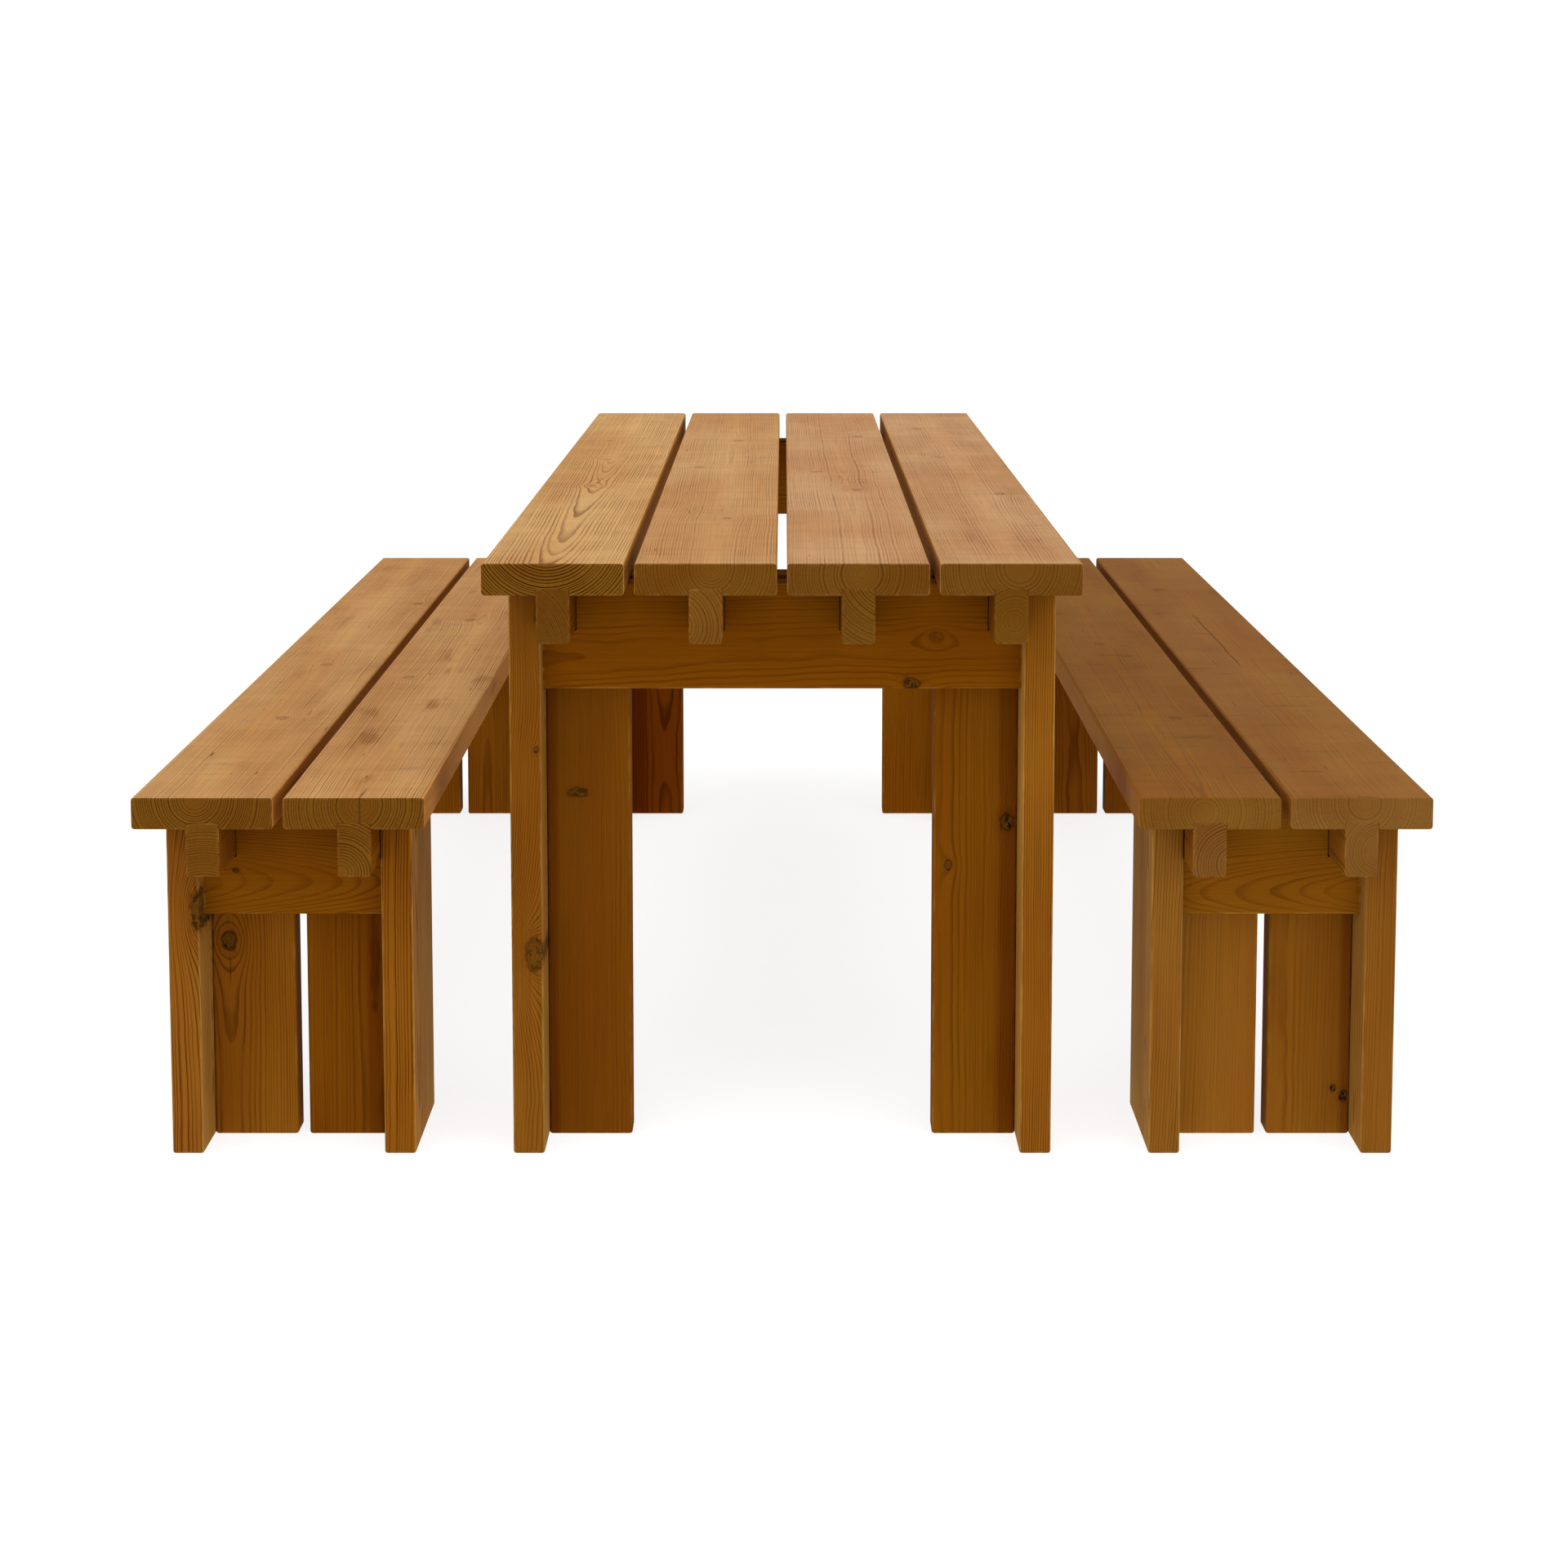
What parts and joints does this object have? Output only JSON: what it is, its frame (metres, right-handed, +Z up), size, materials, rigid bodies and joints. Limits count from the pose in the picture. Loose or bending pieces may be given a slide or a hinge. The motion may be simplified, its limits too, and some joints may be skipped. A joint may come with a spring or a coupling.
{
  "type": "picnic table",
  "caption": "Slatted timber picnic table with a matching free-standing bench along each long side, on end frames of broad boards with hidden fasteners.",
  "frame": {"origin": "on the ground under the middle of the table, halfway between the two benches", "axes": "+X across the table towards the right bench, +Y along the slats away from the front end, +Z up"},
  "size_m": [1.526, 1.87, 0.732],
  "materials": {
    "table_slat_pine": "brushed grain, oiled, satin",
    "table_frame_pine": "brushed grain, oiled, satin",
    "bench_left_slat_pine": "brushed grain, oiled, satin",
    "bench_left_frame_pine": "brushed grain, oiled, satin",
    "bench_right_slat_pine": "brushed grain, oiled, satin",
    "bench_right_frame_pine": "brushed grain, oiled, satin",
    "dowel_beech": "plain turned beech",
    "screw_steel": "zinc plated"
  },
  "bodies": {
    "bench_left": {"bench_left_back_apron_inner": "bench_left_frame_pine", "bench_left_back_apron_outer": "bench_left_frame_pine", "bench_left_back_leg_left": "bench_left_frame_pine", "bench_left_back_leg_right": "bench_left_frame_pine", "bench_left_back_post_left": "bench_left_frame_pine", "bench_left_back_post_right": "bench_left_frame_pine", "bench_left_dowels": "dowel_beech", "bench_left_front_apron_inner": "bench_left_frame_pine", "bench_left_front_apron_outer": "bench_left_frame_pine", "bench_left_front_leg_left": "bench_left_frame_pine", "bench_left_front_leg_right": "bench_left_frame_pine", "bench_left_front_post_left": "bench_left_frame_pine", "bench_left_front_post_right": "bench_left_frame_pine", "bench_left_screws": "screw_steel", "bench_left_slat_left": "bench_left_slat_pine", "bench_left_slat_right": "bench_left_slat_pine", "bench_left_stem_left": "bench_left_frame_pine", "bench_left_stem_right": "bench_left_frame_pine"},
    "bench_right": {"bench_right_back_apron_inner": "bench_right_frame_pine", "bench_right_back_apron_outer": "bench_right_frame_pine", "bench_right_back_leg_left": "bench_right_frame_pine", "bench_right_back_leg_right": "bench_right_frame_pine", "bench_right_back_post_left": "bench_right_frame_pine", "bench_right_back_post_right": "bench_right_frame_pine", "bench_right_dowels": "dowel_beech", "bench_right_front_apron_inner": "bench_right_frame_pine", "bench_right_front_apron_outer": "bench_right_frame_pine", "bench_right_front_leg_left": "bench_right_frame_pine", "bench_right_front_leg_right": "bench_right_frame_pine", "bench_right_front_post_left": "bench_right_frame_pine", "bench_right_front_post_right": "bench_right_frame_pine", "bench_right_screws": "screw_steel", "bench_right_slat_left": "bench_right_slat_pine", "bench_right_slat_right": "bench_right_slat_pine", "bench_right_stem_left": "bench_right_frame_pine", "bench_right_stem_right": "bench_right_frame_pine"},
    "table": {"table_back_apron_inner": "table_frame_pine", "table_back_apron_outer": "table_frame_pine", "table_back_leg_left": "table_frame_pine", "table_back_leg_right": "table_frame_pine", "table_back_post_left": "table_frame_pine", "table_back_post_right": "table_frame_pine", "table_dowels": "dowel_beech", "table_front_apron_inner": "table_frame_pine", "table_front_apron_outer": "table_frame_pine", "table_front_leg_left": "table_frame_pine", "table_front_leg_right": "table_frame_pine", "table_front_post_left": "table_frame_pine", "table_front_post_right": "table_frame_pine", "table_screws": "screw_steel", "table_slat_left_inner": "table_slat_pine", "table_slat_left_outer": "table_slat_pine", "table_slat_right_inner": "table_slat_pine", "table_slat_right_outer": "table_slat_pine", "table_stem_left_inner": "table_frame_pine", "table_stem_left_outer": "table_frame_pine", "table_stem_right_inner": "table_frame_pine", "table_stem_right_outer": "table_frame_pine"}
  },
  "joints": [
    {"name": "bench_left_slide", "type": "slide", "parent": "table", "child": "bench_left", "axis": [-1, 0, 0], "range_m": [-0.092, 0.14]},
    {"name": "bench_right_slide", "type": "slide", "parent": "table", "child": "bench_right", "axis": [1, 0, 0], "range_m": [-0.092, 0.14]}
  ]
}
